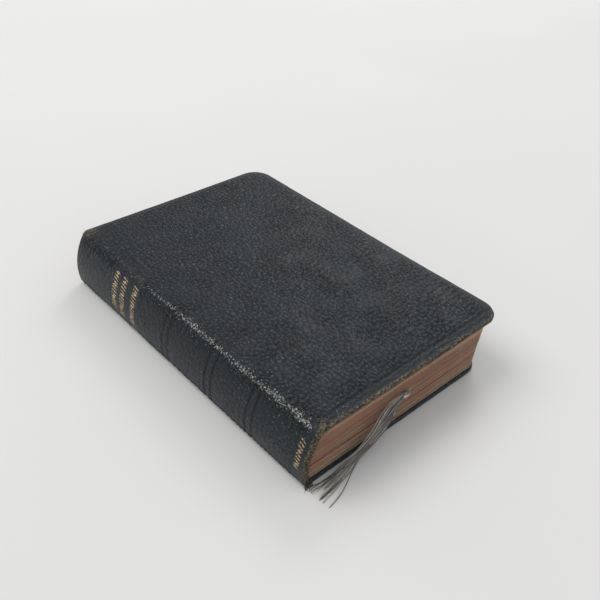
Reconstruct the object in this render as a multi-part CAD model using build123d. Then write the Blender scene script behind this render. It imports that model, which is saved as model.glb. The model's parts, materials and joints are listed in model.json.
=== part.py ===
from build123d import *
import math
import os

# A small leather-bound devotional book, closed and lying on its back cover.
# +X runs from the spine to the fore-edge, +Y from the tail to the head and +Z up.
# The origin is at the middle of the underside of the book's bounding box.
# The book opens at four levels, so its pieces form four bodies:
#   back_cover, rear_leaves, front_leaves and front_cover.
# Each pair of neighbours turns about a line on the outside of the spine leather.

# ---------------------------------------------------------------- driving sizes, mm
cover_height = 115.0  # each cover, tail to head
cover_width = 75.5  # each cover, ridge to fore-edge
book_thickness = 20.5  # outside of one cover to outside of the other
slant_x = 2.8  # an old book leans: the back cover lies this far towards the spine,
slant_y = 1.2  # and this far towards the head, of the front cover
spine_round = 2.4  # how far the spine swells out past the line between its two ridges
cover_corner = 7.5  # radius of a cover's two fore-edge corners
ridge_radius = 1.2  # the rounded ridge between a cover and the spine
rim_radius = 0.45  # the turned edge of the leather round a cover

leather = 0.6  # cover and spine leather
board = 0.85  # stiff card inside each cover
turned_leather = 0.4  # leather pared thin and turned in round the board
endpaper = 0.15  # pastedown, and each flyleaf
turn_in_width = 12.0  # how far the leather is turned in over the board
pastedown_margin = 4.0  # leather left showing round the pastedown
edge_leather = 0.7  # leather outside the board's edge
hinge_leather = 1.8  # leather between the ridge and the board

square = 2.3  # how far the covers stand out past the leaves at the fore-edge and head
leaf_tail = 1.6  # and the front cover at the tail, where the leaves don't lean with the covers
leaf_corner = 4.0  # radius of the leaves' two fore-edge corners
fore_hollow = 0.5  # how far the middle of the fore-edge is hollowed
front_sections = 6  # folded sections above the ribbon
rear_sections = 8  # folded sections below the ribbon
lining = 0.25  # paper and mull glued round the spine under the leather
tape = 0.25  # linen tapes that the sections are sewn on
tape_width = 8.0
tape_count = 3
lining_end_gap = 3.4  # bare spine at the head and tail beyond the lining
cap_length = 1.9  # leather doubled over at the head and tail of the spine
thread_radius = 0.15
thread_depth = 0.3  # from the fold's tip to the middle of the thread
thread_end_gap = 9.0  # from the section's ends to the first and last stitch

body_gap = 0.05  # between bodies that rest on each other
fold_gap = 0.1  # between a section's fold and the tapes
ribbon_width = 5.0
ribbon_thickness = 0.2
ribbon_space = 0.4  # the leaves lie this far apart at the ribbon
ribbon_exit = 34.2  # from the ridge to the ribbon's middle at the tail
ribbon_head = 6.0  # from the ridge to the ribbon's middle at the head
ribbon_tube = 2.4  # thickness of the bundle that the ribbon's loose end has become

# The loose end of the ribbon: it leaves the leaves at the tail, drops past the
# edge of the back cover and lies along the surface towards the spine.
# Points are (from the ridge, from the front cover's tail edge, up). None is where
# the ribbon lies between the leaves, so the first run is straight out from them.
ribbon_route = [
    (ribbon_exit, None, None),
    (ribbon_exit, -1.2, None),
    (31.6, -2.9, 11.2),
    (27.2, -2.4, 10.9),
    (23.4, -1.6, 9.9),
    (20.4, -1.5, 7.0),
    (15.4, -1.8, 3.0),
    (9.0, -2.3, 2.3),
    (2.6, -2.7, 2.0),
    (-2.8, -3.1, 1.5),
]
arc_share = 0.45  # each arc takes up to this share of its shorter run

# ---------------------------------------------------------------- worked-out sizes
cover = leather + board + turned_leather + endpaper
section_counts = {"front": front_sections, "rear": rear_sections}
leaves_low = cover + body_gap + endpaper
leaves_high = book_thickness - leaves_low
section_height = (leaves_high - leaves_low - ribbon_space) / sum(section_counts.values())
opening_low = leaves_low + rear_sections * section_height
opening = opening_low + ribbon_space / 2
fold_depth = leather + lining + tape

# The outside of the spine is an arc over the chord from ridge to ridge.
chord = math.hypot(slant_x, book_thickness)
spine_radius = (chord**2 / 4 + spine_round**2) / (2 * spine_round)
centre_offset = spine_radius - spine_round
centre_dx = -slant_x / 2 + centre_offset * book_thickness / chord
centre_z = book_thickness / 2 - centre_offset * slant_x / chord
spine_swell = spine_radius - centre_dx

overall_width = cover_width + spine_swell
overall_length = cover_height + slant_y
ridge_x = spine_swell - overall_width / 2
tail_y = -overall_length / 2
arc_x = ridge_x + centre_dx


def drift(z):
    """How far the book's slant has moved its pieces at height z."""
    share = 1 - z / book_thickness
    return -slant_x * share, slant_y * share


def spine_x(z, depth=0.0):
    """X of the spine's surface at height z, depth mm under the leather's outside."""
    radius = spine_radius - depth
    return arc_x - math.sqrt(radius**2 - (z - centre_z) ** 2)


def spine_arc(z0, z1, depth=0.0):
    """The arc of the spine at that depth, from height z0 to height z1."""
    middle = (z0 + z1) / 2
    points = [(spine_x(z, depth), z) for z in (z0, middle, z1)]
    return ThreePointArc(*points)


def extrude_along_y(edges, y0, y1):
    """A solid from a closed outline in the XZ plane, between two places along Y."""
    outline = Plane.XZ * make_face(edges)
    return Pos(0, y1, 0) * extrude(outline, amount=y1 - y0, dir=(0, -1, 0))


def slab(x0, x1, y0, y1, z0, z1, corner):
    """A flat sheet whose two fore-edge corners are round."""
    outline = Rectangle(x1 - x0, y1 - y0, align=(Align.MIN, Align.MIN))
    if corner > 0:
        fore = outline.vertices().group_by(Axis.X)[-1]
        outline = fillet(fore, corner)
    return Pos(x0, y0, z0) * extrude(outline, amount=z1 - z0)


def inset_slab(z, inset, x0, z0, z1):
    """A sheet inside the outline of the cover that lies at height z."""
    dx, dy = drift(z)
    return slab(
        x0,
        ridge_x + cover_width + dx - inset,
        tail_y + dy + inset,
        tail_y + dy + cover_height - inset,
        z0,
        z1,
        max(cover_corner - inset, 0),
    )


# ---------------------------------------------------------------- covers
def make_cover(side):
    """One cover: its leather, its board and the paper pasted inside it."""
    front = side == "front"
    outer = book_thickness if front else 0.0
    inward = -1 if front else 1
    dx, dy = drift(outer)
    y0 = tail_y + dy
    hinge_x = ridge_x + dx + hinge_leather

    def layer(inset, depth0, depth1):
        low, high = sorted((outer + inward * depth0, outer + inward * depth1))
        return inset_slab(outer, inset, hinge_x, low, high)

    inner = outer + inward * (cover - endpaper)
    fore_x = ridge_x + dx + cover_width
    outline = [
        spine_arc(inner, outer),
        Line((ridge_x + dx, outer), (fore_x, outer)),
        Line((fore_x, outer), (fore_x, inner)),
        Line((fore_x, inner), (spine_x(inner), inner)),
    ]
    blank = extrude_along_y(outline, y0, y0 + cover_height)
    upright = blank.edges().filter_by(Axis.Z).group_by(Axis.X)[-1]
    blank = fillet(upright, cover_corner)
    ridge = [e for e in blank.edges().filter_by(Axis.Y) if e.center().X < hinge_x]
    ridge = [e for e in ridge if abs(e.center().Z - outer) < 1e-6]
    blank = fillet(ridge, ridge_radius)
    rim = [e for e in blank.edges() if abs(e.center().Z - outer) < 1e-6]
    rim = [e for e in rim if e.center().X > hinge_x]
    blank = fillet(rim, rim_radius)

    board_piece = layer(edge_leather, leather, leather + board)
    filling = layer(turn_in_width, leather + board, cover - endpaper)
    pastedown = filling + layer(pastedown_margin, cover - endpaper, cover)
    leather_piece = blank - board_piece - filling
    return {
        f"{side}_cover_leather": leather_piece,
        f"{side}_board": board_piece,
        f"{side}_pastedown": pastedown,
    }


# ---------------------------------------------------------------- spine
def band(z0, z1, depth0, depth1, y0, y1):
    """A curved layer of the spine, between two heights, depths and places along Y."""
    outline = [
        spine_arc(z0, z1, depth0),
        Line((spine_x(z1, depth0), z1), (spine_x(z1, depth1), z1)),
        spine_arc(z0, z1, depth1),
        Line((spine_x(z0, depth1), z0), (spine_x(z0, depth0), z0)),
    ]
    return extrude_along_y(outline, y0, y1)


def leaning_block(gap):
    """The space between the two ends of the spine, which lean with the book."""
    reach = book_thickness
    corners = []
    for y, z in ((gap, 0), (cover_height - gap, 0), (cover_height - gap, reach), (gap, reach)):
        corners.append((tail_y + y + drift(z)[1], z))
    outline = Plane.YZ * make_face(Polyline(*corners, close=True))
    return Pos(-overall_width, 0, 0) * extrude(outline, amount=2 * overall_width, dir=(1, 0, 0))


def make_spine(side):
    """The leather, lining and tapes on the backs of one side's sections."""
    if side == "front":
        z0, z1 = opening + body_gap / 2, book_thickness - cover - body_gap
    else:
        z0, z1 = cover + body_gap, opening - body_gap / 2
    y0, y1 = tail_y - 1, tail_y + overall_length + 1
    whole = leaning_block(0)
    between_caps = leaning_block(cap_length)
    skin = band(z0, z1, 0, leather, y0, y1) & whole
    caps = (band(z0, z1, leather, leather + turned_leather, y0, y1) & whole) - between_caps
    lining_piece = band(z0, z1, leather, leather + lining, y0, y1) & leaning_block(lining_end_gap)
    tapes = []
    for i in range(tape_count):
        middle = tail_y + overall_length * (i + 1) / (tape_count + 1)
        ends = (middle - tape_width / 2, middle + tape_width / 2)
        tapes.append(band(z0, z1, leather + lining, fold_depth, *ends))
    return {
        f"{side}_spine_leather": skin + caps,
        f"{side}_spine_lining": lining_piece,
        f"{side}_sewing_tapes": Compound(children=tapes),
    }


# ---------------------------------------------------------------- leaves
def leaf_limits(z0, z1):
    """The plan of the leaves at that height: the fold's tip, the fore-edge and the two ends."""
    z = (z0 + z1) / 2
    dx, _ = drift(z)
    share = z / book_thickness
    hollow = fore_hollow * 4 * share * (1 - share)
    fold = spine_x(z, fold_depth) + fold_gap
    fore = ridge_x + cover_width - square + dx - hollow
    return fold, fore, tail_y + leaf_tail, tail_y + cover_height - square


def make_section(z0, z1):
    """A folded section with a round fold, and the thread that is sewn through it."""
    fold, fore, y0, y1 = leaf_limits(z0, z1)
    sheet = slab(fold, fore, y0, y1, z0, z1, leaf_corner)
    fold_edges = sheet.edges().filter_by(Axis.Y).group_by(Axis.X)[0]
    sheet = fillet(fold_edges, (z1 - z0) / 2 - body_gap)
    length = y1 - y0 - 2 * thread_end_gap
    at = Pos(fold + thread_depth, (y0 + y1) / 2, (z0 + z1) / 2)
    slot = at * Box(2 * (thread_depth + fold_gap), length, 2 * thread_radius, align=Align.CENTER)
    thread = at * Rot(90, 0, 0) * Cylinder(thread_radius, length - 1)
    hole = at * Rot(90, 0, 0) * Cylinder(thread_radius + fold_gap / 2, length)
    return sheet - slot - hole, thread


def make_leaves(side):
    """The sections of one side with their threads, and the flyleaf next to the cover."""
    pieces = {}
    threads = []
    start = opening_low + ribbon_space if side == "front" else leaves_low
    for i in range(section_counts[side]):
        z0 = start + i * section_height
        section, thread = make_section(z0, z0 + section_height)
        pieces[f"{side}_section_{i + 1:02d}"] = section
        threads.append(thread)
    pieces[f"{side}_sewing_thread"] = Compound(children=threads)
    fly0 = leaves_high if side == "front" else leaves_low - endpaper
    fold, fore, y0, y1 = leaf_limits(fly0, fly0 + endpaper)
    fold = fold + endpaper  # the steep part of the spine lies beside the flyleaf
    pieces[f"{side}_flyleaf"] = slab(fold, fore, y0, y1, fly0, fly0 + endpaper, leaf_corner)
    return pieces


# ---------------------------------------------------------------- ribbon
def ribbon_exit_y():
    """Where the ribbon leaves the leaves, just clear of their ends."""
    return leaf_limits(opening, opening)[2] - body_gap


def make_ribbon_inside():
    """The flat ribbon between the leaves, from the head of the spine to the tail."""
    z0 = opening_low
    z1 = opening_low + ribbon_thickness
    y0 = ribbon_exit_y()
    y1 = leaf_limits(opening_low - section_height, opening_low)[3]
    run = y1 - y0
    x_tail = ridge_x + ribbon_exit
    x_head = ridge_x + ribbon_head
    half = ribbon_width / 2 * math.hypot(run, x_tail - x_head) / run
    corners = [
        (x_tail - half, y0),
        (x_tail + half, y0),
        (x_head + half, y1),
        (x_head - half, y1),
    ]
    outline = make_face(Polyline(*corners, close=True))
    return Pos(0, 0, z0) * extrude(outline, amount=z1 - z0)


def make_ribbon_tail():
    """The loose end of the ribbon, a limp bundle of threads, as a plain tube."""
    points = []
    for x, y, z in ribbon_route:
        place = ribbon_exit_y() if y is None else tail_y + y
        height = opening if z is None else z
        points.append(Vector(ridge_x + x, place, height))
    runs = [b - a for a, b in zip(points, points[1:])]
    radii = []
    for before, after in zip(runs, runs[1:]):
        half_turn = math.radians(before.get_angle(after)) / 2
        radii.append(arc_share * min(before.length, after.length) / math.tan(half_turn))
    print("ribbon arc radii, mm:", [round(r, 1) for r in radii])
    line = FilletPolyline(*points, radius=radii)
    start = Plane(origin=line @ 0, z_dir=line % 0)
    tube = sweep(start * Circle(ribbon_tube / 2), path=line)
    expected = math.pi * ribbon_tube**2 / 4 * line.length
    print(f"ribbon tail: {line.length:.1f} mm long, volume {tube.volume / expected:.3f} of its length's")
    return tube


def main():
    pieces = {}
    for side in ("back", "front"):
        pieces.update(make_cover(side))
    for side in ("rear", "front"):
        pieces.update(make_spine(side))
        pieces.update(make_leaves(side))
    pieces["ribbon_inside"] = make_ribbon_inside()
    pieces["ribbon_tail"] = make_ribbon_tail()

    os.makedirs("parts", exist_ok=True)
    for name, piece in pieces.items():
        piece.label = name
        export_step(piece, f"parts/{name}.step")

    print(f"box {overall_width:.3f} x {overall_length:.3f} x {book_thickness:.3f}")
    print(f"ridge x {ridge_x:.3f}, front cover's tail y {tail_y:.3f}")
    for name, z in (
        ("back cover joint", cover + body_gap / 2),
        ("opening joint", opening),
        ("front cover joint", book_thickness - cover - body_gap / 2),
    ):
        print(f"{name}: x {spine_x(z):.3f}, z {z:.3f}")


if __name__ == "__main__":
    main()
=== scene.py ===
import json
import math

import bpy
import numpy as np
from mathutils import Matrix, Vector


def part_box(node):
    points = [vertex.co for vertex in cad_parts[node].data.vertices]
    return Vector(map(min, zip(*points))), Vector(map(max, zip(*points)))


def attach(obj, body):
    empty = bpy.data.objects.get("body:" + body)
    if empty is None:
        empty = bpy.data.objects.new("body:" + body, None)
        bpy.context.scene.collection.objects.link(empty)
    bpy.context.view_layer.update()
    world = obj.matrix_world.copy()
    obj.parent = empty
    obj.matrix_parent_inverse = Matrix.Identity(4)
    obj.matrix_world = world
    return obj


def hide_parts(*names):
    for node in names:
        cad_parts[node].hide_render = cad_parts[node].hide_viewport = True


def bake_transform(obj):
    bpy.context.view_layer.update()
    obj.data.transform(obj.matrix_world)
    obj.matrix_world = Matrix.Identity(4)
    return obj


# A small, worn, leather-bound devotional book, closed and lying on its back cover.
# Sizes are in millimetres until mesh_from() writes them, and MM turns them to metres.
# +X runs from the spine to the fore-edge, +Y from the tail to the head and +Z up.
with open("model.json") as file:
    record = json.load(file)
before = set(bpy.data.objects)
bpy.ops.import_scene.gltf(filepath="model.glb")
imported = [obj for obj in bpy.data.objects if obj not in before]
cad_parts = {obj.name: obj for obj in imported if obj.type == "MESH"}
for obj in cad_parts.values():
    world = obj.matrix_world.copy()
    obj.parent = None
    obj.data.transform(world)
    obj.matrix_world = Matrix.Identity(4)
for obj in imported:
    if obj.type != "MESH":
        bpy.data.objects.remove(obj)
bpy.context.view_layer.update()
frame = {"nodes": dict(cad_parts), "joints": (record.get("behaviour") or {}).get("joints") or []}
MM = 0.001


# ---------------------------------------------------------------- sizes from the frame
def box_mm(node):
    """The lowest and highest corner of a CAD node, in millimetres."""
    low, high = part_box(node)
    return np.array(low) / MM, np.array(high) / MM


def circle_through(a, b, c):
    """Centre and radius of the circle through three (x, z) points."""
    rows = np.array([[b[0] - a[0], b[1] - a[1]], [c[0] - a[0], c[1] - a[1]]])
    sides = [(b @ b - a @ a) / 2, (c @ c - a @ a) / 2]
    centre = np.linalg.solve(rows, sides)
    return centre, float(np.linalg.norm(a - centre))


front_low, front_high = box_mm("front_cover_leather")
back_low, back_high = box_mm("back_cover_leather")
THICK = front_high[2]
COVER = THICK - front_low[2]
LEAN_X = front_high[0] - back_high[0]
LEAN_Y = back_low[1] - front_low[1]
TAIL_Y, HEAD_Y = front_low[1], front_high[1]
FORE_TRIM = 0.5  # the covers and leaves are worn back this much at the fore-edge
FORE_X = front_high[0] - FORE_TRIM

pivots = {j["name"]: np.array(j["pos_m"]) / MM for j in frame["joints"]}
BACK_PIVOT = pivots["back_cover_joint"][[0, 2]]
LEAVES_PIVOT = pivots["leaves_joint"][[0, 2]]
FRONT_PIVOT = pivots["front_cover_joint"][[0, 2]]
ARC, ARC_RADIUS = circle_through(BACK_PIVOT, LEAVES_PIVOT, FRONT_PIVOT)


def spine_x(z, depth=0.0):
    """X of the spine's surface at height z, depth under the leather's outside."""
    return ARC[0] - np.sqrt((ARC_RADIUS - depth) ** 2 - (z - ARC[1]) ** 2)


def drift(z):
    """How far the book's lean has moved what lies at height z."""
    share = 1 - z / THICK
    return -LEAN_X * share, LEAN_Y * share


RIDGE_X = float(spine_x(THICK))

# ---------------------------------------------------------------- sizes of the looks
RIDGE_R = 2.4  # rounding of the ridge between cover and spine
ROLL_R = 0.65  # rounding of the leather's turned edges
CAP_ROLL_R = 1.05  # and where the spine's leather is doubled over
CORNER_R = 6.8  # a cover's fore-edge corners
TURNED = COVER - 0.15  # a cover's thickness without its pastedown
SKIN = 0.6  # spine leather
CAP = 2.2  # spine leather where it is doubled over at the head and tail
CAP_END = 1.7  # how far the doubled leather reaches in
JOIN = 3.0  # the cover's own skin begins this far from the ridge
BORDER = 3.5  # a faint line lies this far in from the front cover's tail edge
LIFT = 0.5  # how far the front cover's corner at the tail and fore-edge has lifted
BEND = 0.9  # the opening's leather reaches this far each side of its joint
STEP = 0.34  # spacing of the leather's grid
GRAIN = (1.3, 1.65)  # size of the leather's pebbles across and along the book
DOME, CREASE = 0.25, 0.18  # how high a pebble stands, and how deep the creases are
LINE_DEPTH = 0.13  # depth of the blind lines
UNDER_TRIM = 0.18  # the back cover's leather is pressed flat this much
GILT_SPACING = 1.08  # from one ornament to the next along a row
GILT_RISE = 0.03  # how far the gilt stands above the leather
RIBBON_OUT = 34.2  # the ribbon leaves the leaves this far from the ridge
RIBBON_SLANT = 28.2  # and lies slantwise over the page by this much


# ---------------------------------------------------------------- noise
TABLES = {}


def table(seed):
    if seed not in TABLES:
        TABLES[seed] = np.random.RandomState(seed).rand(256, 256, 2)
    return TABLES[seed]


def smooth(low, high, value):
    t = np.clip((value - low) / (high - low), 0, 1)
    return t * t * (3 - 2 * t)


def noise(x, y, seed):
    """Smooth noise from -1 to 1, one bump per unit."""
    x, y = np.broadcast_arrays(np.asarray(x, float), np.asarray(y, float))
    xi, yi = np.floor(x).astype(int), np.floor(y).astype(int)
    u, v = smooth(0, 1, x - xi), smooth(0, 1, y - yi)
    t = table(seed)[:, :, 0]

    def corner(i, j):
        return t[(xi + i) & 255, (yi + j) & 255]

    low = corner(0, 0) * (1 - u) + corner(1, 0) * u
    high = corner(0, 1) * (1 - u) + corner(1, 1) * u
    return 2 * (low * (1 - v) + high * v) - 1


def cells(x, y, seed):
    """Distances to the nearest and second nearest of scattered points, one per unit."""
    xi, yi = np.floor(x).astype(int), np.floor(y).astype(int)
    first = np.full(np.shape(x), 9.0)
    second = np.full(np.shape(x), 9.0)
    t = table(seed)
    for i in (-1, 0, 1):
        for j in (-1, 0, 1):
            jitter = t[(xi + i) & 255, (yi + j) & 255]
            px = xi + i + 0.1 + 0.8 * jitter[..., 0]
            py = yi + j + 0.1 + 0.8 * jitter[..., 1]
            d = np.hypot(px - x, py - y)
            second = np.minimum(second, np.maximum(first, d))
            first = np.minimum(first, d)
    return first, second


# ---------------------------------------------------------------- mesh helpers
def add_object(name, data):
    """A new object in the scene that holds that data."""
    obj = bpy.data.objects.new(name, data)
    bpy.context.scene.collection.objects.link(obj)
    return obj


def mark_rest(mesh, points):
    """Stores where each point lies at rest, in millimetres, for the materials."""
    rest = mesh.attributes.new("rest", "FLOAT_VECTOR", "POINT")
    rest.data.foreach_set("vector", np.asarray(points, np.float32).ravel())


def mesh_from(name, points, faces, material, attributes=None, indices=None, flat=False):
    """A mesh object from points in millimetres."""
    points = np.asarray(points, float).reshape(-1, 3)
    mesh = bpy.data.meshes.new(name)
    mesh.from_pydata((points * MM).tolist(), [], faces)
    mark_rest(mesh, points)
    for key, values in (attributes or {}).items():
        layer = mesh.attributes.new(key, "FLOAT", "POINT")
        layer.data.foreach_set("value", np.asarray(values, np.float32).ravel())
    for m in material if isinstance(material, (list, tuple)) else [material]:
        mesh.materials.append(m)
    if indices is not None:
        mesh.polygons.foreach_set("material_index", np.asarray(indices, np.int32))
    mesh.polygons.foreach_set("use_smooth", [not flat] * len(mesh.polygons))
    mesh.update()
    return add_object(name, mesh)


def unit(vectors):
    """The same directions, each of length 1."""
    return vectors / np.linalg.norm(vectors, axis=-1, keepdims=True)


def grid_faces(rows, columns):
    """Quads over a grid of points, row by row."""
    corners = [r * columns + c for r in range(rows - 1) for c in range(columns - 1)]
    return [(a, a + 1, a + columns + 1, a + columns) for a in corners]


def flipped(face):
    """The same face, seen from its other side."""
    return (face[0], *face[:0:-1])


def closed_sheet(rows, columns):
    """Faces of two grids of points, one over the other, closed all round their rim."""
    size = rows * columns
    faces = grid_faces(rows, columns)
    faces += [tuple(size + i for i in flipped(face)) for face in faces]
    rim = [*range(columns)] + [r * columns + columns - 1 for r in range(1, rows)]
    rim += [size - 1 - c for c in range(1, columns)] + [r * columns for r in range(rows - 2, 0, -1)]
    return faces + [(j, i, i + size, j + size) for i, j in zip(rim, rim[1:] + rim[:1])]


def loft(count, size):
    """Quads between closed rings of size points, and an end cap on the first and last."""
    faces = []
    for r in range(count - 1):
        a, b = r * size, (r + 1) * size
        for k in range(size):
            n = (k + 1) % size
            faces.append((a + k, a + n, b + n, b + k))
    faces.append(tuple(range(size - 1, -1, -1)))
    faces.append(tuple(range((count - 1) * size, count * size)))
    return faces


def tube(points, radii, sides=6):
    """Points and faces of a round tube along points, in millimetres."""
    points = np.asarray(points, float)
    radii = np.broadcast_to(radii, len(points))
    tangents = np.gradient(points, axis=0)
    tangents /= np.linalg.norm(tangents, axis=1, keepdims=True) + 1e-12
    normal = np.cross(tangents[0], (0.3, 0.2, 1.0))
    out = []
    for p, t, r in zip(points, tangents, radii):
        normal = normal - t * (normal @ t)
        normal /= np.linalg.norm(normal) + 1e-12
        other = np.cross(t, normal)
        for k in range(sides):
            a = 2 * math.pi * k / sides
            out.append(p + r * (math.cos(a) * normal + math.sin(a) * other))
    return out, loft(len(points), sides)


def join_parts(parts):
    """Several (points, faces) as one."""
    points, faces = [], []
    for p, f in parts:
        base = len(points)
        points.extend(p)
        faces.extend(tuple(base + i for i in face) for face in f)
    return points, faces


# ---------------------------------------------------------------- materials
class Shader:
    """A material with a Principled shader, and short names for the nodes that feed it."""

    def __init__(self, name, **uniform):
        self.material = bpy.data.materials.new(name)
        self.material.use_nodes = True
        self.tree = self.material.node_tree
        self.shader = self.tree.nodes["Principled BSDF"]
        for key, value in uniform.items():
            self.shader.inputs[key.replace("_", " ")].default_value = value
        self.rest = self.attribute("rest", "Vector")

    def node(self, kind, inputs=None, **settings):
        node = self.tree.nodes.new(kind)
        for key, value in settings.items():
            setattr(node, key, value)
        for key, value in (inputs or {}).items():
            if isinstance(value, bpy.types.NodeSocket):
                self.tree.links.new(value, node.inputs[key])
            else:
                node.inputs[key].default_value = value
        return node

    def attribute(self, name, output="Fac"):
        return self.node("ShaderNodeAttribute", attribute_name=name).outputs[output]

    def scaled(self, factors, vector=None):
        inputs = {0: vector or self.rest, 1: factors}
        return self.node("ShaderNodeVectorMath", inputs, operation="MULTIPLY").outputs[0]

    def noise(self, scale, detail=3.0, roughness=0.5, vector=None):
        inputs = {"Vector": vector or self.rest, "Scale": scale, "Detail": detail, "Roughness": roughness}
        return self.node("ShaderNodeTexNoise", inputs).outputs["Fac"]

    def voronoi(self, scale, feature="F1", **more):
        inputs = {"Vector": self.rest, "Scale": scale, **more}
        return self.node("ShaderNodeTexVoronoi", inputs, feature=feature).outputs["Distance"]

    def math(self, operation, a, b):
        return self.node("ShaderNodeMath", {0: a, 1: b}, operation=operation).outputs[0]

    def add(self, a, b):
        return self.math("ADD", a, b)

    def times(self, a, b):
        return self.math("MULTIPLY", a, b)

    def between(self, value, low, high, to_low=0.0, to_high=1.0):
        """value from low..high to to_low..to_high, with smooth ends."""
        sockets = ("Value", "From Min", "From Max", "To Min", "To Max")
        inputs = dict(zip(sockets, (value, low, high, to_low, to_high)))
        return self.node("ShaderNodeMapRange", inputs, interpolation_type="SMOOTHSTEP").outputs["Result"]

    def mix(self, factor, a, b, blend="MIX"):
        node = self.node("ShaderNodeMix", data_type="RGBA", blend_type=blend)
        for key, value in ((0, factor), (6, a), (7, b)):
            if isinstance(value, bpy.types.NodeSocket):
                self.tree.links.new(value, node.inputs[key])
            else:
                node.inputs[key].default_value = value if key == 0 else (*value, 1.0)
        return node.outputs[2]

    def bump(self, height, strength, distance):
        inputs = {"Height": height, "Strength": strength, "Distance": distance * MM}
        return self.node("ShaderNodeBump", inputs).outputs["Normal"]

    def feed(self, **sockets):
        for key, value in sockets.items():
            self.tree.links.new(value, self.shader.inputs[key.replace("_", " ")])
        return self.material


def make_leather():
    """Blue-black pebble-grained leather, rubbed pale where its masks say, with painted shade in its creases
    and painted highlights on its grain.
    """
    m = Shader("cover_leather", Specular_IOR_Level=0.26)
    crease_shade = m.attribute("crease_shade")
    rubbed = m.attribute("rubbed")
    bare = m.attribute("bare")
    patch = m.noise(0.09, 2.0)
    colour = m.mix(m.between(patch, 0.35, 0.65), (0.0082, 0.0115, 0.0150), (0.0120, 0.0165, 0.0210))
    # Painted shade: the grain's creases and the blind lines are darkened in the colour.
    colour = m.mix(m.times(crease_shade, 0.9), colour, (0.0020, 0.0027, 0.0036))

    # Painted highlights: fine grey specks on the tops of the grain stand in for the pebbles' glints.
    glint_specks = m.between(m.noise(1.7, 3.0, 0.65), 0.57, 0.65)
    glint_specks = m.times(glint_specks, m.between(crease_shade, 0.2, 0.0))
    glint_specks = m.times(glint_specks, m.between(m.noise(0.10, 2.0), 0.36, 0.62, 0.25, 0.9))
    colour = m.mix(glint_specks, colour, (0.125, 0.135, 0.138))

    # Tan and olive where the dye has gone from the edges.
    stipple = m.noise(1.25, 5.0, 0.75, vector=m.scaled((1.0, 1.6, 1.0)))
    tan = m.add(m.math("SUBTRACT", m.times(bare, 1.2), 1.0), stipple)
    tan = m.between(tan, 0.36, 0.60)
    tone = m.mix(m.between(m.noise(1.8, 3.0), 0.42, 0.62), (0.020, 0.019, 0.013), (0.165, 0.135, 0.090))
    colour = m.mix(tan, colour, tone)

    # Pale flakes along the ridge, where the finish has cracked.
    fine = m.noise(1.7, 3.0, 0.6)
    pale = m.between(m.add(fine, m.math("SUBTRACT", rubbed, 1.0)), 0.40, 0.47)
    pale = m.times(pale, m.between(m.noise(2.7, 1.0), 0.42, 0.50, 0.06, 1.0))
    whitish = m.mix(m.between(m.noise(0.5, 2.0), 0.50, 0.62), (0.20, 0.20, 0.20), (0.115, 0.090, 0.055))
    whitish = m.mix(m.between(m.noise(2.2, 1.0), 0.52, 0.64), whitish, (0.56, 0.56, 0.54))
    colour = m.mix(pale, colour, whitish)

    pores = m.voronoi(3.2, "SMOOTH_F1", Smoothness=0.5)
    height = m.add(m.times(pores, 0.6), m.times(m.noise(6.0, 3.0), 0.35))
    normal = m.bump(m.add(height, m.times(pale, 0.5)), 0.8, 0.09)
    rough = m.add(m.between(patch, 0.3, 0.7, 0.31, 0.40), m.times(m.math("MAXIMUM", pale, tan), 0.25))
    rough = m.add(m.add(rough, m.times(crease_shade, 0.4)), m.between(rubbed, 0.5, 0.9, 0.0, 0.14))
    return m.feed(Base_Color=colour, Roughness=rough, Normal=normal)


def make_edge_paper():
    """The trimmed edges of the leaves: coloured, faded to brown pink, in fine wavy layers."""
    m = Shader("leaf_edges", Specular_IOR_Level=0.35)
    swirl = m.node("ShaderNodeTexNoise", {"Vector": m.rest, "Scale": 0.09}).outputs["Color"]
    wander = m.node("ShaderNodeVectorMath", {0: m.rest, 1: swirl}, operation="ADD").outputs[0]

    def layered(across, thin, detail):
        return m.noise(1.0, detail, 0.6, vector=m.scaled((across, across, thin), wander))

    fine = layered(0.06, 6.0, 3.0)
    strata = layered(0.02, 1.5, 2.0)
    tint = m.attribute("tint")
    colour = m.mix(m.between(strata, 0.40, 0.60), (0.098, 0.022, 0.0095), (0.245, 0.066, 0.034))
    colour = m.mix(m.between(fine, 0.50, 0.75, 0.0, 0.8), colour, (0.37, 0.118, 0.066))
    # Painted shade: thin dark lines stand in for the shadowed gaps between the leaves.
    colour = m.mix(m.between(fine, 0.48, 0.34), colour, (0.052, 0.017, 0.0095))
    colour = m.mix(m.between(m.noise(0.16, 3.0), 0.45, 0.7, 0.0, 0.5), colour, (0.185, 0.058, 0.027))
    colour = m.mix(tint, colour, (0.60, 0.275, 0.165))
    # Partly painted shade, partly dirt: the edges darken towards the back cover.
    height = m.node("ShaderNodeSeparateXYZ", {0: m.rest}).outputs["Z"]
    colour = m.mix(m.between(height, 6.5, 2.4, 0.0, 0.6), colour, (0.066, 0.034, 0.019))
    rough = m.between(fine, 0.3, 0.7, 0.48, 0.66)
    normal = m.bump(layered(0.15, 11.0, 3.0), 0.6, 0.07)
    return m.feed(Base_Color=colour, Roughness=rough, Normal=normal)


def make_paper(name, light, dark, foxing):
    """Aged paper with soft mottling, browner at its rims, and a few spots."""
    m = Shader(name, Specular_IOR_Level=0.25)
    colour = m.mix(m.between(m.noise(0.06, 4.0), 0.35, 0.65), light, dark)
    spots = m.between(m.voronoi(0.11, "F1", Randomness=1.0), 0.10, 0.02, 0.0, foxing)
    colour = m.mix(spots, colour, (0.34, 0.20, 0.09))
    fibres = m.noise(1.0, 4.0, 0.7, vector=m.scaled((1.2, 3.0, 3.0)))
    rough = m.between(fibres, 0.3, 0.7, 0.72, 0.88)
    return m.feed(Base_Color=colour, Roughness=rough, Normal=m.bump(fibres, 0.35, 0.03))


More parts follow.
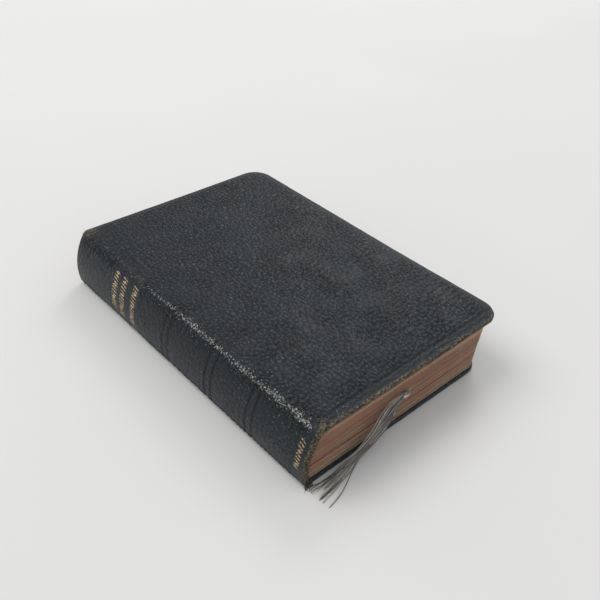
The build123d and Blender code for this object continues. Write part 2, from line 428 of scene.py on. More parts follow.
def make_woven(name, light, dark, pitch, sheen):
    """A plain weave of that pitch in millimetres."""
    m = Shader(name, Specular_IOR_Level=0.3, Sheen_Weight=sheen, Sheen_Roughness=0.4)
    inputs = {"Vector": m.rest, "Scale": 0.32 / pitch, "Distortion": 0.6}
    warp, weft = (m.node("ShaderNodeTexWave", inputs, bands_direction=way) for way in "XY")
    weave = m.times(warp.outputs["Fac"], weft.outputs["Fac"])
    colour = m.mix(m.between(weave, 0.1, 0.8), dark, light)
    colour = m.mix(m.between(m.noise(0.6, 4.0), 0.4, 0.7, 0.0, 0.6), colour, dark)
    rough = m.between(weave, 0.0, 1.0, 0.85, 0.6)
    return m.feed(Base_Color=colour, Roughness=rough, Normal=m.bump(weave, 0.6, 0.08))


def make_threads(name, light, dark, stain, stained):
    """Separate silk or leather fibres, each a little different, stained in places."""
    m = Shader(name, Specular_IOR_Level=0.4, Sheen_Weight=0.3)
    shade = m.attribute("shade")
    colour = m.mix(shade, dark, light)
    colour = m.mix(m.between(m.noise(0.8, 3.0), 0.35, 0.7, 0.0, stained), colour, stain)
    rough = m.between(m.noise(2.0, 2.0), 0.3, 0.7, 0.5, 0.75)
    return m.feed(Base_Color=colour, Roughness=rough, Normal=m.bump(m.noise(6.0, 2.0), 0.4, 0.05))


def make_gilt():
    """Dull gold pressed into the leather, rubbed away in places."""
    m = Shader("gilt")
    rub = m.between(m.noise(1.6, 4.0, 0.65), 0.46, 0.62)
    gold = m.mix(m.between(m.noise(0.7, 2.0), 0.3, 0.7), (0.56, 0.39, 0.20), (0.74, 0.57, 0.36))
    colour = m.mix(rub, gold, (0.030, 0.030, 0.028))
    metal = m.between(rub, 0.0, 1.0, 0.75, 0.0)
    rough = m.between(m.noise(2.5, 2.0), 0.3, 0.7, 0.36, 0.55)
    normal = m.bump(m.noise(4.0, 2.0), 0.4, 0.04)
    return m.feed(Base_Color=colour, Metallic=metal, Roughness=rough, Normal=normal)


def make_floor():
    """A plain pale floor."""
    m = Shader("floor", Specular_IOR_Level=0.2)
    place = m.node("ShaderNodeTexCoord").outputs["Object"]
    soft = m.noise(6.0, 3.0, vector=place)
    colour = m.mix(m.between(soft, 0.3, 0.7), (0.775, 0.768, 0.755), (0.79, 0.785, 0.772))
    rough = m.between(soft, 0.3, 0.7, 0.85, 0.95)
    return m.feed(Base_Color=colour, Roughness=rough)


LEATHER = make_leather()
EDGES = make_edge_paper()
PAPER = make_paper("leaf_paper", (0.70, 0.62, 0.47), (0.62, 0.53, 0.38), 0.35)
ENDPAPER = make_paper("endpaper", (0.60, 0.52, 0.39), (0.50, 0.42, 0.30), 0.6)
LINING = make_paper("spine_lining", (0.34, 0.26, 0.17), (0.25, 0.18, 0.11), 0.2)
TAPE = make_woven("linen_tape", (0.62, 0.56, 0.44), (0.40, 0.34, 0.25), 0.5, 0.1)
THREAD = make_threads("sewing_thread", (0.68, 0.62, 0.50), (0.50, 0.44, 0.34), (0.6, 0.55, 0.45), 0.5)
RIBBON = make_woven("ribbon", (0.86, 0.84, 0.80), (0.42, 0.39, 0.36), 0.42, 0.4)
# Painted light and shade: the ribbon's threads are near-white where they stand for lit threads and near-black
# where they stand for threads in the bundle's shade.
SILK_LIT_AND_SHADED = ((0.88, 0.84, 0.78), (0.034, 0.028, 0.023), (0.20, 0.16, 0.12))
RIBBON_THREADS = make_threads("ribbon_threads", *SILK_LIT_AND_SHADED, 0.35)
RAW_LEATHER = ((0.110, 0.075, 0.045), (0.014, 0.011, 0.008), (0.045, 0.032, 0.020))
FRAY = make_threads("leather_fibres", *RAW_LEATHER, 0.7)
GILT = make_gilt()


# ---------------------------------------------------------------- the wrap of the leather
# One skin runs from the front cover over the ridge, down the spine, round the lower
# ridge and under the back cover. wrap(s) walks round it: s is 0 where the front
# cover's flat ends at the ridge, grows over the cover and falls down the spine.
def ridge_centre(z):
    return np.array([spine_x(z, RIDGE_R), z])


TOP_CENTRE = ridge_centre(THICK - RIDGE_R)
LOW_CENTRE = ridge_centre(RIDGE_R)
TOP_ANGLE = math.atan2(-(TOP_CENTRE - ARC)[0], (TOP_CENTRE - ARC)[1])
LOW_ANGLE = math.atan2(-(LOW_CENTRE - ARC)[0], (LOW_CENTRE - ARC)[1])
RIDGE_END = -RIDGE_R * TOP_ANGLE
SPINE_END = RIDGE_END - ARC_RADIUS * (LOW_ANGLE - TOP_ANGLE)
LOW_END = SPINE_END - RIDGE_R * (math.pi - LOW_ANGLE)


def wrap(s):
    """(x, z) of the leather's outside at s, and its outward normal."""
    if s >= 0:
        return np.array([TOP_CENTRE[0] + s, THICK]), np.array([0.0, 1.0])
    if s < LOW_END:
        return np.array([LOW_CENTRE[0] + LOW_END - s, 0.0]), np.array([0.0, -1.0])
    if s >= RIDGE_END:
        angle, centre, radius = -s / RIDGE_R, TOP_CENTRE, RIDGE_R
    elif s >= SPINE_END:
        angle, centre, radius = TOP_ANGLE + (RIDGE_END - s) / ARC_RADIUS, ARC, ARC_RADIUS
    else:
        angle, centre, radius = LOW_ANGLE + (SPINE_END - s) / RIDGE_R, LOW_CENTRE, RIDGE_R
    normal = np.array([-math.sin(angle), math.cos(angle)])
    return centre + radius * normal, normal


def s_at(z):
    """Where on the wrap the spine is at height z."""
    angle = math.acos((z - ARC[1]) / ARC_RADIUS)
    return RIDGE_END - ARC_RADIUS * (angle - TOP_ANGLE)


def on_spine(s):
    """1 on the spine, 0 on the covers."""
    return smooth(0.8, -1.2, s) * smooth(LOW_END - 0.8, LOW_END + 1.2, s)


# Tooling along the book: lines as (place, share of the depth), and gilt rows as (place, half
# height, lowest z, highest z).
BLIND_LINES = ((21.0, 1.0), (23.8, 1.0), (39.2, 1.0), (42.2, 1.0), (60.6, 0.8), (63.4, 0.8), (76.4, 0.35))
GILT_ROWS = ((3.1, 0.9, 7.0, 16.0), (80.1, 1.25, 4.8, 17.5), (86.0, 1.3, 4.4, 17.5), (90.6, 1.3, 5.6, 17.5))
COVER_LENGTH = HEAD_Y - TAIL_Y


def leather_shape(s, y, rim):
    """How far the leather stands out, and how dark its hollows are painted as shade, at s along the wrap
    and y along the book; rim is the distance to a free edge."""
    s, y, rim = np.broadcast_arrays(s, y, rim)
    u = s + 0.6 * noise(s / 1.9, y / 1.9, 11)
    v = y + 0.6 * noise(s / 1.9, y / 1.9, 12)
    first, second = cells(u / GRAIN[0], v / GRAIN[1], 5)
    crease = 1 - smooth(0.0, 0.28, second - first)
    dome = 1 - smooth(0.0, 0.75, first)
    swell = noise(s / 6.0, y / 6.0, 13)
    spine = on_spine(s)
    on_front = smooth(2, 6, s)
    inside = smooth(0.3, 3.2, rim) * (1 - 0.5 * on_front * smooth(BORDER + 1.2, BORDER - 0.6, y))
    plain = smooth(-3.6, -6.5, s) * smooth(SPINE_END - 1, SPINE_END + 1, s)
    strong = (0.8 + 0.3 * swell) * inside * (1 - 0.66 * plain)
    lines = np.zeros(s.shape)
    gilt = np.zeros(s.shape)
    for place, depth in BLIND_LINES:
        lines = np.maximum(lines, depth * np.exp(-(((y - place) / 0.3) ** 2)) * spine)
    for middle, half, _, _ in GILT_ROWS:
        gilt = np.maximum(gilt, smooth(half + 0.8, half + 0.2, abs(y - middle)) * spine)
    lines = lines + 0.6 * np.exp(-(((y - BORDER) / 0.45) ** 2)) * on_front * smooth(0.5, 3, rim)
    strong = strong * (1 - 0.75 * gilt)
    height = strong * (DOME * dome - CREASE * crease)
    height += 0.022 * noise(s / 0.6, y / 0.6, 14) * (1 - gilt)
    height += 0.12 * noise(s / 21, y / 24, 15) * (1 - spine)
    height -= LINE_DEPTH * lines
    ridge = np.exp(-(((s + 1.8) / 2.6) ** 2)) * inside
    height += 0.11 * ridge * noise(s / 0.6, y / 0.7, 16)
    under = smooth(SPINE_END, LOW_END, s)
    height = np.minimum(height - UNDER_TRIM * under, 1 - under)
    # The hollows' mask: it darkens the leather's colour as painted shade and also roughens it.
    crease_shade = np.clip(crease * strong + 0.7 * lines, 0, 1)
    return height, crease_shade


def worn_masks(s, y, rim):
    """Where the ridge is rubbed pale and where the edges are bare, each 0 to 1."""
    s, y, rim = np.broadcast_arrays(s, y, rim)
    middle = -RIDGE_R * 0.75
    along = 0.79 + 0.16 * smooth(96, 50, y) * smooth(1.2, 4, y)
    along = along + 0.05 * noise(y / 6, 0.3, 21)
    off = (s - middle - 0.5 * noise(y / 9, 0.7, 22)) / (2.2 + 0.6 * smooth(95, 50, y))
    rubbed = along * np.exp(-(off**2)) + 0.02
    above = smooth(LOW_END - 2, LOW_END, s)
    scatter = 0.80 * np.exp(-(((s - middle) / 13.0) ** 2)) * smooth(104, 70, y) * above
    low = np.exp(-(((s - SPINE_END) / 2.5) ** 2)) * 0.80
    rubbed = np.maximum.reduce([rubbed, scatter, low]) * smooth(0.6, 3.0, rim)
    corner_tail = smooth(10.5, 1.0, np.hypot((s - 1.0) / 1.1, y)) * smooth(LOW_END - 4, LOW_END, s)
    corner_head = smooth(15.0, 2.0, np.hypot(s + 1.0, COVER_LENGTH - y)) * smooth(-12, -1, s)
    edge = smooth(3.0, 0.3, rim)
    tail_edge = edge * smooth(5, 1, y) * (0.90 + 0.14 * noise(s / 6, 1.2, 23))
    other_edge = edge * (0.56 + 0.25 * noise(s / 11, y / 11, 24))
    end_edge = smooth(3.6, 0.2, np.minimum(y, COVER_LENGTH - y)) * on_spine(s) * 0.88
    nick = smooth(3.0, 0.4, np.hypot((s - 28.0) / 1.6, COVER_LENGTH - y)) * 0.8
    shown = 0.55 + 0.45 * above
    tail_edge, other_edge = tail_edge * shown, other_edge * shown
    bare = np.maximum.reduce([corner_tail * 0.85, corner_head * 0.85, tail_edge, other_edge, end_edge, nick])
    return np.clip(rubbed, 0, 1), np.clip(bare, 0, 1)


def lift(s, y):
    """How far the front cover has lifted at s and y: most at its corner at the tail and fore-edge."""
    return LIFT * smooth(34, 74, s) * smooth(46, 2, y)


def rows_along():
    """Places along the book for the leather's grid, closer together at the round corners."""
    turn = np.radians(np.linspace(0, 90, 34))
    inner = CORNER_R - ROLL_R
    ends = inner * (1 - np.cos(turn))
    length = COVER_LENGTH - 2 * ROLL_R
    middle = np.linspace(inner, length - inner, int((length - 2 * inner) / STEP))
    return np.concatenate([ends[:-1], middle, length - ends[:-1][::-1]]) + ROLL_R


def fray(place, seed):
    """How far a free edge wanders in and out."""
    return 0.08 * noise(place / 3.1, 0.5, seed) + 0.05 * noise(place / 0.9, 1.5, seed)


ROLL_STEPS = 6


def roll(thickness, radius):
    """The turned edge from the outside round to the inside, as (how far out, how deep)."""
    turn = [math.radians(90 * k / ROLL_STEPS) for k in range(ROLL_STEPS + 1)]
    out = [(radius * math.sin(a), radius * (1 - math.cos(a))) for a in turn[1:]]
    out += [(radius * math.cos(a), thickness - radius + radius * math.sin(a)) for a in turn]
    return out


def make_strip(name, s0, s1):
    """A closed length of the spine's leather between two places on the wrap."""
    count = max(int(abs(s1 - s0) / STEP), 4)
    places = np.linspace(s0, s1, count + 1)
    rows = rows_along()
    rim = np.minimum(rows, COVER_LENGTH - rows)
    rings, crease_shades, rubs, bares = [], [], [], []
    for s in places:
        (x, z), normal = wrap(s)
        y_tail = TAIL_Y + drift(z)[1]
        spine = float(on_spine(s))
        height, crease_shade = leather_shape(s, rows, np.maximum(rim, 1.2 * spine))
        rubbed, bare = worn_masks(s, rows, rim)
        depth = 0.3 * smooth(3.4, 0.2, rim) * (1 - spine) - height
        skin = TURNED + (SKIN - TURNED) * spine
        cap = TURNED + (CAP - TURNED) * spine
        radius = ROLL_R + (CAP_ROLL_R - ROLL_R) * spine
        pull = radius - ROLL_R
        loop = list(zip(np.clip(rows, radius, COVER_LENGTH - radius) if pull > 0 else rows, depth))
        masks = list(zip(crease_shade, rubbed, bare))

        def end(edge, sign, first, mask, seed):
            out = []
            for k, (reach, deep) in enumerate(roll(cap, radius)):
                fade = min(1.0, (k + 1) / ROLL_STEPS)
                out.append((edge + sign * (reach - radius + fray(s, seed) * fade), deep + first * (1 - fade)))
            return out, [(mask[0] * 0.5, mask[1] * 0.6, mask[2])] * len(out)

        head, head_masks = end(COVER_LENGTH, 1, depth[-1], masks[-1], 32)
        tail, tail_masks = end(0.0, -1, depth[0], masks[0], 31)
        inner = [
            (COVER_LENGTH - CAP_END, cap),
            (COVER_LENGTH - CAP_END - 0.6, skin),
            (CAP_END + 0.6, skin),
            (CAP_END, cap),
        ]
        loop += head + inner + tail[::-1]
        masks += head_masks + [(0, 0, 0.7)] * len(inner) + tail_masks[::-1]
        rings.append([(x - normal[0] * d, y_tail + y, z - normal[1] * d) for y, d in loop])
        crease_shades.append([m[0] for m in masks])
        rubs.append([m[1] for m in masks])
        bares.append([m[2] for m in masks])
    size = len(rings[0])
    faces = loft(len(rings), size)
    total = len(rings) * size
    # The end caps get points of their own, so that the shading runs on from strip to strip.
    faces[-2] = tuple(total + i for i in range(size - 1, -1, -1))
    faces[-1] = tuple(total + size + i for i in range(size))
    masks = {}
    for key, values in (("crease_shade", crease_shades), ("rubbed", rubs), ("bare", bares)):
        masks[key] = np.concatenate(values + [values[0], values[-1]])
    points = np.concatenate(rings + [rings[0], rings[-1]])
    obj = mesh_from(name, points, faces, LEATHER, masks)
    return obj


def make_cover_skin(side):
    """A cover's leather from beyond the ridge to the fore-edge, with its turned edges."""
    front = side == "front"
    up = 1 if front else -1
    z_out = THICK if front else 0.0
    lean_x, lean_y = drift(z_out)
    y_tail = TAIL_Y + lean_y
    fore = FORE_X + lean_x
    x_left = wrap(JOIN if front else LOW_END - JOIN)[0][0]
    columns = int((fore - x_left) / (STEP if front else STEP * 1.5))
    y = rows_along()
    inner = CORNER_R - ROLL_R
    from_corner = np.clip(np.minimum(y, COVER_LENGTH - y) - ROLL_R, 0, inner)
    x_right = fore - CORNER_R + np.sqrt(inner**2 - (inner - from_corner) ** 2)
    u = np.linspace(0, 1, columns + 1)
    x = x_left + u[None, :] * (x_right[:, None] - x_left)
    yy = np.repeat(y[:, None], columns + 1, axis=1)
    s = x - TOP_CENTRE[0] if front else LOW_END - (x - LOW_CENTRE[0])

    corner_x = np.maximum(x - (fore - CORNER_R), 0)
    corner_y = np.maximum(CORNER_R - np.minimum(yy, COVER_LENGTH - yy), 0)
    rim = np.where(
        (corner_x > 0) & (corner_y > 0),
        CORNER_R - np.hypot(corner_x, corner_y),
        np.minimum(np.minimum(yy, COVER_LENGTH - yy), fore - x),
    )
    height, crease_shade = leather_shape(s, yy, rim)
    rubbed, bare = worn_masks(s, yy, rim)
    height = height - 0.3 * smooth(3.4, 0.2, rim)
    raised = lift(s, yy) if front else np.zeros(s.shape)
    z = z_out + up * height + raised
    points = np.stack([x, y_tail + yy, z], -1).reshape(-1, 3).tolist()
    crease_shade, rubbed, bare = (list(m.ravel()) for m in (crease_shade, rubbed, bare))
    width = columns + 1
    faces = grid_faces(len(y), width)

    # The free boundary, from the spine's tail round the fore-edge to the spine's head.
    last = len(y) - 1
    border = [(0, c, (0.0, -1.0)) for c in range(width)]
    for r in range(1, last):
        across = x_right[r] - (fore - CORNER_R)
        along = CORNER_R - min(y[r], COVER_LENGTH - y[r])
        if along > 0:
            length = math.hypot(across, along)
            toward = -1 if y[r] < COVER_LENGTH / 2 else 1
            border.append((r, columns, (across / length, toward * along / length)))
        else:
            border.append((r, columns, (1.0, 0.0)))
    border += [(last, c, (0.0, 1.0)) for c in range(columns, -1, -1)]
    edge = roll(TURNED, ROLL_R) + [(-3.0, TURNED)]
    rings = [[r * width + c for r, c, _ in border]]
    for k, (reach, deep) in enumerate(edge):
        fade = min(1.0, (k + 1) / ROLL_STEPS)
        last_ring = k == len(edge) - 1
        ring = []
        for r, c, (nx, ny) in border:
            here = r * width + c
            px, py, pz = points[here]
            place = s[r, c] if abs(ny) > 0.7 else yy[r, c]
            out = reach + (0 if last_ring else fray(place, 31 if ny < 0 else 32) * fade)
            first = (z_out + raised[r, c] - pz) * up * (1 - fade)
            ring.append(len(points))
            points.append((px + nx * out, py + ny * out, z_out + raised[r, c] - up * (deep + first)))
            crease_shade.append(crease_shade[here] * 0.5)
            rubbed.append(rubbed[here] * 0.6)
            bare.append(bare[here] * (0.3 if last_ring else 1.0))
        rings.append(ring)
    for one, two in zip(rings, rings[1:]):
        for n in range(len(one) - 1):
            faces.append((one[n], two[n], two[n + 1], one[n + 1]))
    # The inner face and the end beside the ridge have points of their own.
    left = [r * width for r in range(len(y))]
    end = left + [ring[-1] for ring in rings[1:]] + [ring[0] for ring in rings[:0:-1]]
    for flat in (rings[-1][::-1], end[::-1]):
        base = len(points)
        points += [points[i] for i in flat]
        crease_shade += [0.0] * len(flat)
        rubbed += [0.0] * len(flat)
        bare += [0.2] * len(flat)
        faces.append(tuple(range(base, base + len(flat))))
    if not front:
        faces = [face[::-1] for face in faces]
    masks = {"crease_shade": crease_shade, "rubbed": rubbed, "bare": bare}
    obj = mesh_from(f"{side}_cover_skin", points, faces, LEATHER, masks)
    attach(obj, f"{side}_cover")
    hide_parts(f"{side}_cover_leather", f"{side}_board")


def make_pastedown(side):
    """The paper pasted inside a cover, a little cockled where the leather is turned in under it."""
    front = side == "front"
    low, high = box_mm(f"{side}_pastedown")
    up = 1 if front else -1
    z_in = low[2] if front else high[2]
    xs = np.linspace(low[0], high[0], 61)
    ys = np.linspace(low[1], high[1], 91)
    x, y = np.meshgrid(xs, ys)
    s = x - TOP_CENTRE[0]
    raised = lift(s, y - TAIL_Y) if front else np.zeros(x.shape)
    rim = np.minimum(np.minimum(x - low[0], high[0] - x), np.minimum(y - low[1], high[1] - y))
    step = smooth(7.6, 8.6, rim)
    cockle = 0.05 * (1 + noise(x / 9, y / 12, 45)) + 0.08 * step
    corner = 3.5
    pull_x = np.maximum(x - (high[0] - corner), 0)
    pull_y = np.maximum(corner - np.minimum(y - low[1], high[1] - y), 0)
    reach = np.maximum(np.hypot(pull_x, pull_y), 1e-9)
    shrink = np.where(np.maximum(pull_x, pull_y) > 0, np.maximum(pull_x, pull_y) / reach, 1.0)
    x = np.where(pull_x * pull_y > 0, high[0] - corner + pull_x * shrink, x)
    turn = corner - pull_y * shrink
    turned_y = np.where(y < (low[1] + high[1]) / 2, low[1] + turn, high[1] - turn)
    y = np.where(pull_x * pull_y > 0, turned_y, y)
    seen = np.stack([x, y, z_in + up * cockle + raised], -1).reshape(-1, 3)
    hidden = np.stack([x, y, np.full(x.shape, z_in + up * 0.3) + raised], -1).reshape(-1, 3)
    faces = closed_sheet(*x.shape)
    if front:
        faces = [flipped(face) for face in faces]
    obj = mesh_from(f"{side}_pastedown_sheet", np.concatenate([seen, hidden]), faces, ENDPAPER)
    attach(obj, f"{side}_cover")
    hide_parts(f"{side}_pastedown")


def bend_points(pivot, direction, half=BEND):
    """Two points, half either side of a pivot along that direction, in metres."""
    d = np.array(direction) / np.linalg.norm(direction) * half
    low, high = pivot - d, pivot + d
    return (low[0] * MM, 0, low[1] * MM), (high[0] * MM, 0, high[1] * MM)


def make_spine():
    """The leather from cover to cover, in five lengths, two of which go with the leaves."""
    cuts = [
        JOIN,
        s_at(FRONT_PIVOT[1] - 1.5),
        s_at(LEAVES_PIVOT[1] + BEND),
        s_at(LEAVES_PIVOT[1] - BEND),
        s_at(BACK_PIVOT[1] + 1.5),
        LOW_END - JOIN,
    ]
    front_joint = make_strip("front_joint_skin", cuts[0], cuts[1])
    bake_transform(front_joint)
    front_spine = make_strip("front_spine_skin", cuts[1], cuts[2])
    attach(front_spine, "front_leaves")
    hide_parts("front_spine_leather")
    opening = make_strip("opening_skin", cuts[2], cuts[3])
    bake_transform(opening)
    rear_spine = make_strip("rear_spine_skin", cuts[3], cuts[4])
    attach(rear_spine, "rear_leaves")
    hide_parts("rear_spine_leather")
    back_joint = make_strip("back_joint_skin", cuts[4], cuts[5])
    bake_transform(back_joint)


for cover_side in ("front", "back"):
    make_cover_skin(cover_side)
    make_pastedown(cover_side)
make_spine()


# ---------------------------------------------------------------- leaves
LEAF_CORNER = 4.0
LAYERS = 8  # each section shows as this many bundles of leaves
PAGE_RINGS = (30.0, 20.0, 12.0, 6.0, 2.5)  # a page's rings of points lie this far inside its edges
FRAME_RINGS = (6.0, 2.5)  # and these are enough where the page never shows
SECTIONS = {
    side: sorted(n for n in frame["nodes"] if n.startswith(f"{side}_section_"))
    for side in ("front", "rear")
}
LEAVES_TOP = box_mm("front_flyleaf")[1][2]


def settle(x, y, z, ends):
    """The leaves' own slump: those near the top droop towards the tail and fore-edge, and
    those at the opening close up round the ribbon."""
    tail, fore = y - ends[0], ends[1] - x
    near_top = smooth(LEAVES_TOP - 5.5, LEAVES_TOP, z)
    droop = 0.34 * smooth(26, 0, tail) * smooth(2, 16, x - RIDGE_X) + 0.14 * smooth(20, 0, fore)
    wave = 0.12 * noise(x / 9, y / 9, 41) * smooth(30, 0, tail)
    from_opening = z - LEAVES_PIVOT[1]
    side = np.sign(from_opening)
    ribbon_x = RIDGE_X + RIBBON_OUT - RIBBON_SLANT * tail / COVER_LENGTH
    beside = smooth(2.2, 5.5, abs(x - ribbon_x))
    parted = smooth(4.4, 1.8, abs(x - ribbon_x + 3.0)) * smooth(16, 0, tail)
    near = np.exp(-np.maximum(abs(from_opening) - 0.2, 0) / 1.4)
    closing = side * near * (0.45 * parted - 0.16 * beside)
    ripple = 0.10 * noise(x / 13, z / 1.2, 46) * smooth(40, 0, tail) * (1 - near_top)
    return z - near_top * (droop + wave) + closing + ripple


def outline(x0, x1, y0, y1, corner, step=2.4):
    """Points round a sheet with two round fore-edge corners, with outward normals."""
    points = []

    def straight(a, b, normal):
        count = max(int(math.dist(a, b) / step), 1)
        for k in range(count):
            t = k / count
            points.append((a[0] + (b[0] - a[0]) * t, a[1] + (b[1] - a[1]) * t, *normal))

    def arc(cx, cy, start):
        for k in range(6):
            a = math.radians(start + 90 * k / 6)
            c, d = math.cos(a), math.sin(a)
            points.append((cx + corner * c, cy + corner * d, c, d))

    straight((x0, y0), (x1 - corner, y0), (0, -1))
    arc(x1 - corner, y0 + corner, -90)
    straight((x1, y0 + corner), (x1, y1 - corner), (1, 0))
    arc(x1 - corner, y1 - corner, 0)
    straight((x1 - corner, y1), (x0, y1), (0, 1))
    straight((x0, y1), (x0, y0), (-1, 0))
    return np.array(points)


def merge_points(points, faces, marks):
    """The same faces with points that fall together made one, less those that close up."""
    _, kept, same = np.unique(points.round(6), axis=0, return_index=True, return_inverse=True)
    same = same.ravel()
    open_faces, open_marks = [], []
    for face, mark in zip(faces, marks):
        corners = tuple(dict.fromkeys(int(same[i]) for i in face))
        if len(corners) > 2:
            open_faces.append(corners)
            open_marks.append(mark)
    return points[kept], open_faces, open_marks


def sheet_parts(plan, z0, z1, inset, ends, wave=None, pulls=PAGE_RINGS):
    """One closed bundle of leaves: (points, faces, which faces are page rather than edge). Its
    pages are rings that lie the distances in pulls inside its edges, and with other rings than
    PAGE_RINGS it is only a hollow frame."""
    border = outline(*plan, LEAF_CORNER)
    n = len(border)
    along = np.arange(n)
    shift = inset + 0.03 * noise(along / 4.0, z0 * 3.1, 42) + 0.018 * noise(along / 1.3, z0 * 5.3, 43)
    shift = np.where(border[:, 2] < -0.5, 0.05, shift)
    rings = []
    places = [(z0, pull) for pull in pulls] + [(z0, 0.0), (z1, 0.0)]
    places += [(z1, pull) for pull in reversed(pulls)]
    for z, pull in places:
        inward = pull if pull else shift
        px, py = border[:, 0] - border[:, 2] * inward, border[:, 1] - border[:, 3] * inward
        if pull:
            px = np.clip(px, plan[0] + pull, plan[1] - pull)
            py = np.clip(py, plan[2] + pull, plan[3] - pull)
        pz = settle(px, py, np.full(n, z), ends)
        if wave is not None:
            pz = pz + wave(px, py)
        rings.append(np.stack([px, py, pz], -1))
    points = np.concatenate(rings)
    faces, page = [], []
    last = len(places) - 1
    for r in range(last):
        a, b = r * n, (r + 1) * n
        for k in range(n):
            m = (k + 1) % n
            faces.append((a + k, a + m, b + m, b + k))
            page.append(0 if r == len(pulls) else 1)
    if pulls is PAGE_RINGS:
        faces.append(tuple(range(n - 1, -1, -1)))
        faces.append(tuple(range(last * n, (last + 1) * n)))
        page += [1, 1]
    else:
        for k in range(n):
            m = (k + 1) % n
            faces.append((last * n + k, last * n + m, m, k))
            page.append(1)
    return merge_points(points, faces, page)


def make_section(node, side):
    """A section's leaves as bundles whose edges don't quite line up."""
    low, high = box_mm(node)
    plan = (low[0], high[0] - FORE_TRIM, low[1], high[1])
    ends = (low[1], high[0])
    levels = np.linspace(low[2], high[2], LAYERS + 1)
    points, faces, pages, tints = [], [], [], []
    seed = int(node[-2:]) + (50 if side == "front" else 0)
    jitter = np.random.RandomState(seed)
    for k in range(LAYERS):
        gap = 0.012 + 0.02 * jitter.rand()
        inset = 0.04 + 0.10 * jitter.rand() + (0.22 if jitter.rand() < 0.16 else 0)
        pulls = PAGE_RINGS if k in (0, LAYERS - 1) else FRAME_RINGS
        z0, z1 = levels[k] + gap / 2, levels[k + 1] - gap / 2
        p, f, page = sheet_parts(plan, z0, z1, inset, ends, pulls=pulls)
        base = len(points)
        points.extend(p)
        faces.extend(tuple(base + i for i in face) for face in f)
        pages.extend(page)
        pale = 0.9 * smooth(LEAVES_TOP - 3.3, LEAVES_TOP - 2.9, levels[k]) * (0.5 + 0.5 * jitter.rand())
        fade = smooth(RIDGE_X + 1, RIDGE_X + 6, p[:, 0])
        tints.extend(np.maximum(0.35 * jitter.rand() ** 3, pale * fade))
    obj = mesh_from(f"{node}_leaves", points, faces, [EDGES, PAPER], {"tint": tints}, pages, flat=True)
    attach(obj, f"{side}_leaves")
    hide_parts(node)


def make_flyleaf(side):
    """The free endpaper: a single thicker leaf, a little wavy."""
    node = f"{side}_flyleaf"
    low, high = box_mm(node)
    plan = (low[0], high[0] - FORE_TRIM, low[1], high[1])
    outward = 1 if side == "front" else -1

    def wave(x, y):
        free = smooth(2, 14, x - low[0])
        return outward * 0.018 * (1 + noise(x / 7.0, y / 7.0, 44)) * free

    middle = (low[2] + high[2]) / 2
    ends = (low[1], high[0])
    p, f, page = sheet_parts(plan, middle - 0.05, middle + 0.05, 0.1, ends, wave)
    obj = mesh_from(f"{node}_sheet", p, f, [EDGES, ENDPAPER], {"tint": [0.85] * len(p)}, page, flat=True)
    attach(obj, f"{side}_leaves")
    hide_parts(node)


for leaf_side, section_nodes in SECTIONS.items():
    for section_node in section_nodes:
        make_section(section_node, leaf_side)
    make_flyleaf(leaf_side)


# ---------------------------------------------------------------- gilt on the spine
def surface(s, y, above=0.0):
    """The point that stands above the leather's outside by that much, at s and y along the book."""
    (x, z), normal = wrap(s)
    height = float(leather_shape(s, y, 5.0)[0]) + above
    return x + normal[0] * height, TAIL_Y + drift(z)[1] + y, z + normal[1] * height


def ornament(kind, s, y, half):
    """A lozenge or a slanting bar, as points (s, y) round its rim."""
    if kind == "lozenge":
        return [(s - 0.55, y), (s, y - half), (s + 0.55, y), (s, y + half)]
    lean, thick = 0.26, 0.19
    return [
        (s - lean - thick, y - half),
        (s - lean + thick, y - half),
        (s + lean + thick, y + half),
        (s + lean - thick, y + half),
    ]


def make_gilt_rows():
    """Rows of plain ornament across the spine: bars and lozenges."""
    pattern = ("bar", "bar", "bar", "lozenge")
    parts = []
    for row, (middle, half, z_low, z_high) in enumerate(GILT_ROWS):
        s_from, s_to = s_at(z_high), s_at(z_low)
        count = int(abs(s_to - s_from) / GILT_SPACING)
        for k in range(count + 1):
            kind = pattern[(k + row) % len(pattern)]
            s = s_from + (s_to - s_from) * k / count
            rim = ornament(kind, s, middle, half)
            n = len(rim)
            centre = (sum(p[0] for p in rim) / n, sum(p[1] for p in rim) / n)
            fine = []
            for one, two in zip(rim, rim[1:] + rim[:1]):
                for t in (0.0, 0.25, 0.5, 0.75):
                    fine.append((one[0] + (two[0] - one[0]) * t, one[1] + (two[1] - one[1]) * t))
            n = len(fine)
            inner = [((a + centre[0]) / 2, (b + centre[1]) / 2) for a, b in fine]
            points = [surface(a, b, -0.05) for a, b in fine]
            points += [surface(a, b, 0.025) for a, b in fine]
            points += [surface(a, b, GILT_RISE) for a, b in inner]
            points.append(surface(*centre, GILT_RISE))
            faces = [tuple(range(n - 1, -1, -1))]
            for r in (0, 1):
                for i in range(n):
                    j = (i + 1) % n
                    faces.append((r * n + i, r * n + j, (r + 1) * n + j, (r + 1) * n + i))
            faces += [(2 * n + i, 2 * n + (i + 1) % n, 3 * n) for i in range(n)]
            parts.append((points, faces))
    points, faces = join_parts(parts)
    obj = mesh_from("gilt_tooling", points, faces, GILT)
    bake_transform(obj)


make_gilt_rows()


